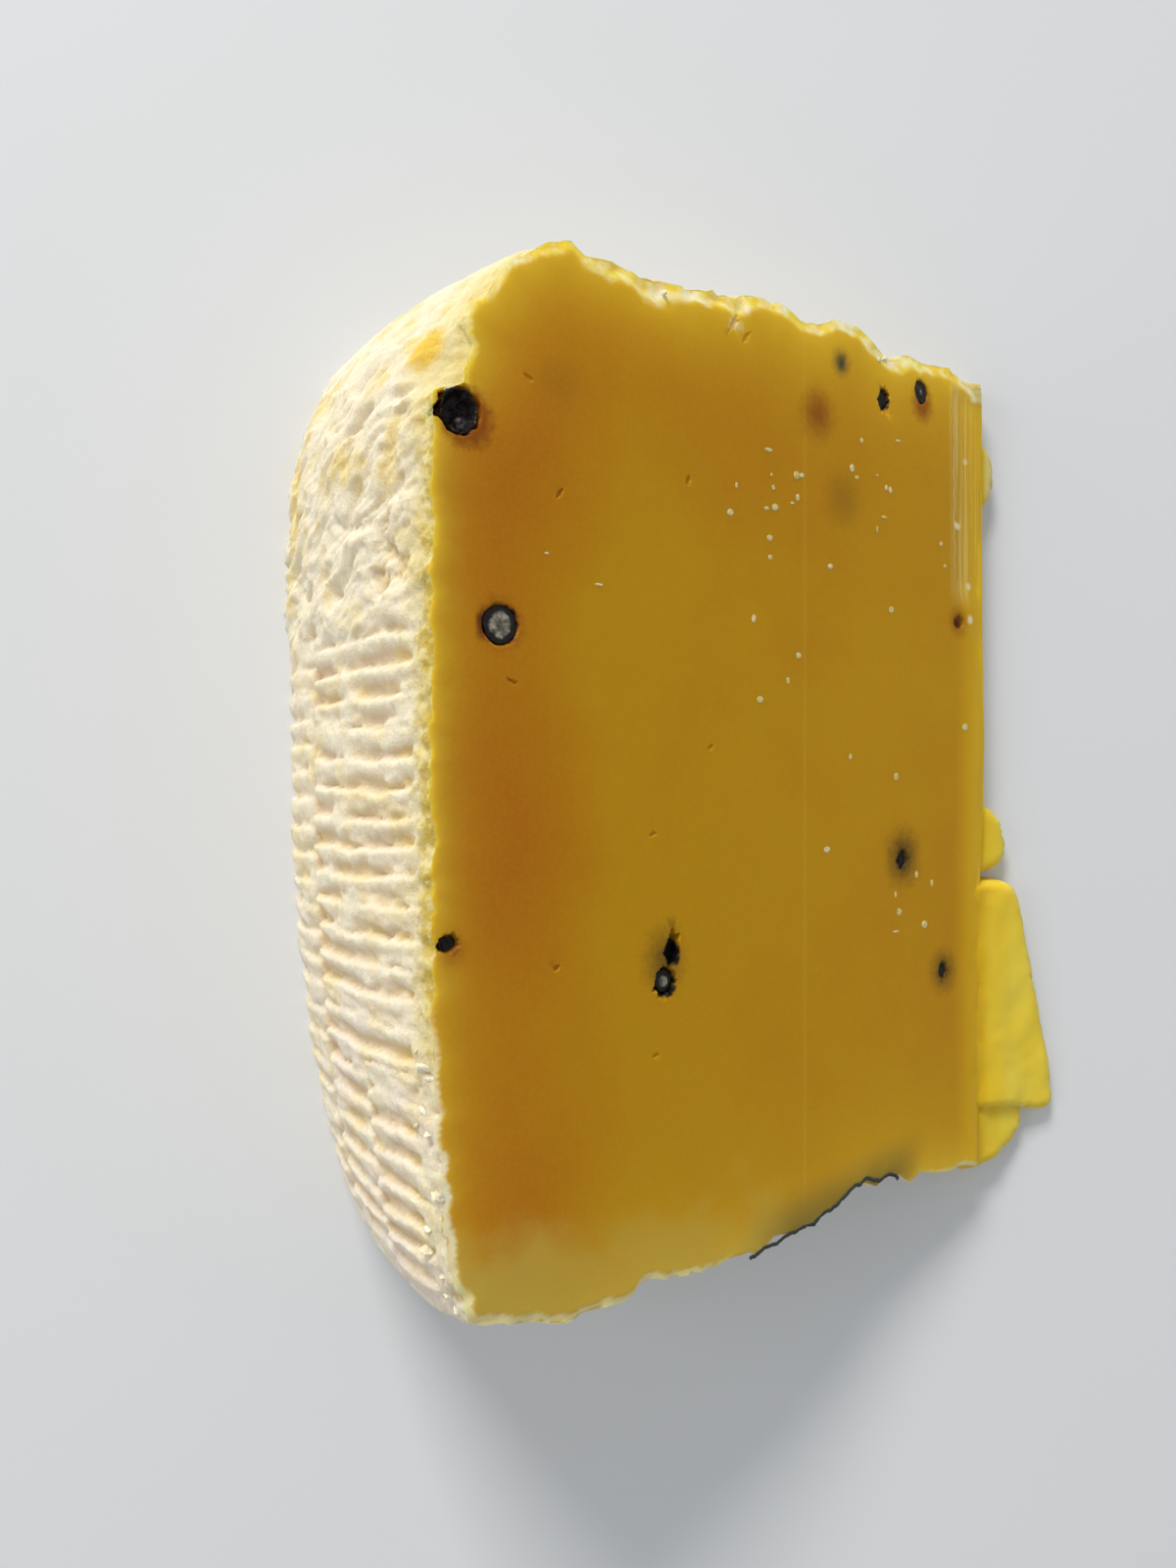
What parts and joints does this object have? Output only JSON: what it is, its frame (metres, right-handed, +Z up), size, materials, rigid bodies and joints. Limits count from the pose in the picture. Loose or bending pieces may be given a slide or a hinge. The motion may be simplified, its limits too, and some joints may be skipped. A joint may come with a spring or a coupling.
{
  "type": "cheese wedge",
  "caption": "Wedge of saffron-yellow farmhouse cheese with black peppercorns and a pale, basket-ribbed rind, lying on a cut face.",
  "frame": {"origin": "middle of the bounding box, at the height of the surface that the wedge lies on", "axes": "+X from the ribbed heel to the torn tip, +Y along the axis of the wheel that it was cut from, +Z up"},
  "size_m": [0.1092, 0.1202, 0.0387],
  "materials": {
    "cheese": "moist",
    "peppercorn": "wrinkled"
  },
  "bodies": {
    "root": {"cheese": "cheese", "peppercorn_1": "peppercorn", "peppercorn_2": "peppercorn", "peppercorn_3": "peppercorn", "peppercorn_4": "peppercorn", "peppercorn_5": "peppercorn", "peppercorn_6": "peppercorn", "peppercorn_7": "peppercorn", "peppercorn_8": "peppercorn", "peppercorn_9": "peppercorn"}
  },
  "joints": []
}
